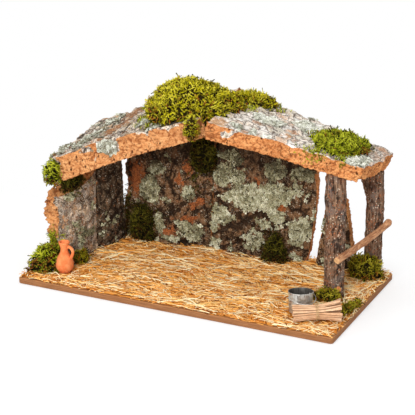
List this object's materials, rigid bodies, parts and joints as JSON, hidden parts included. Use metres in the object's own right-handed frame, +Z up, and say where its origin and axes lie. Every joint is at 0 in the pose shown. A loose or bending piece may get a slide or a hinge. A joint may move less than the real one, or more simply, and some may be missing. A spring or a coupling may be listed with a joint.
{
  "type": "nativity stable",
  "caption": "Open-fronted model stable of cork bark slabs on a board with straw, log posts and a side rail, with moss, a clay jug, a pail with a swinging bail and a tied kindling bundle.",
  "frame": {"origin": "middle of the underside of the board", "axes": "+Z up; +X to the right along the board, towards the side with the log posts; -Y towards the open front"},
  "size_m": [0.5008, 0.25, 0.3099],
  "materials": {
    "board": "smooth, lightly oiled hardboard brown",
    "straw": "loose chopped straw, dull gold",
    "roof_bark": "rough cork bark, grey with pale lichen, orange where cut",
    "dark_bark": "rough cork bark, dark grey-brown",
    "bark": "rough cork bark, grey-brown with pale green lichen",
    "log": "furrowed branch bark, dark brown",
    "twig": "thin smooth twig bark, reddish brown",
    "moss": "dried moss, yellow-green, matt",
    "clay": "unglazed fired clay, terracotta",
    "zinc": "dull zinc-coated sheet and wire",
    "kindling": "split pale wood, raw",
    "twine": "natural jute twine",
    "steel": "plated screw steel"
  },
  "bodies": {
    "stable": {"base_board": "board", "straw_bed": "straw", "left_wall_front_slab": "bark", "left_wall_rear_slab": "dark_bark", "back_wall_left_slab": "bark", "back_wall_right_slab": "bark", "back_wall_end_piece": "bark", "roof_left_slab": "roof_bark", "roof_right_slab": "roof_bark", "front_post": "log", "front_post_screw": "steel", "rear_post": "log", "rear_post_screw": "steel", "side_rail": "twig", "moss_ridge": "moss", "moss_ridge_right": "moss", "moss_ridge_tail": "moss", "moss_roof_right": "moss", "moss_left_eave": "moss", "moss_wall_top": "moss", "moss_left_front": "moss", "moss_beside_jug": "moss", "moss_back_left": "moss", "moss_back_seam": "moss", "moss_back_right": "moss", "moss_front_post": "moss", "moss_rear_post": "moss", "moss_right_edge": "moss", "clay_jug": "clay", "pail_body": "zinc", "kindling_outer_1": "kindling", "kindling_outer_2": "kindling", "kindling_outer_3": "kindling", "kindling_outer_4": "kindling", "kindling_outer_5": "kindling", "kindling_outer_6": "kindling", "kindling_outer_7": "kindling", "kindling_outer_8": "kindling", "kindling_outer_9": "kindling", "kindling_inner_1": "kindling", "kindling_inner_2": "kindling", "kindling_inner_3": "kindling", "kindling_inner_4": "kindling", "bundle_twine": "twine"},
    "bail": {"pail_bail": "zinc"}
  },
  "joints": [
    {"name": "bail_swing", "type": "hinge", "parent": "stable", "child": "bail", "pos_m": [0.17877, -0.06704, 0.03737], "axis": [-0.6419, -0.7649, 0.0533], "range_deg": [0, 238]}
  ]
}
